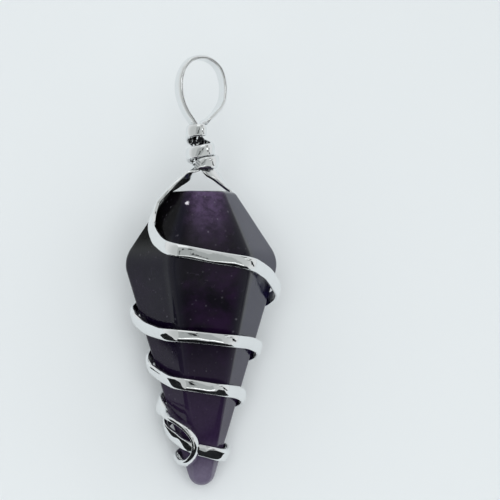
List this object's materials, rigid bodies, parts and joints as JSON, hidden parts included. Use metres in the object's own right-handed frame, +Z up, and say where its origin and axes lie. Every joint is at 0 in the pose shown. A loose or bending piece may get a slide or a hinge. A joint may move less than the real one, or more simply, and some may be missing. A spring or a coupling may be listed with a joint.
{
  "type": "amethyst cone pendant",
  "caption": "Tapered faceted amethyst point caged in a helix of flat-backed silver wire, with a wound wire bail whose loop takes a chain or cord.",
  "frame": {"origin": "middle of the lying pendant's box, on the table it rests on", "axes": "+Z up from the table, +Y from the stone's tip to the bail's loop, +X across, to the right as the picture shows it"},
  "size_m": [0.0217, 0.0582, 0.0204],
  "materials": {
    "amethyst": "polished dark purple quartz with grey clouds, a paler and clearer tip and fine veils inside",
    "silver_wire": "bright drawn silver-coloured wire with a softly domed face, lightly dented by hand work"
  },
  "bodies": {
    "root": {"amethyst_stone": "amethyst", "cage_wire": "silver_wire", "bail_wire": "silver_wire"}
  },
  "joints": []
}
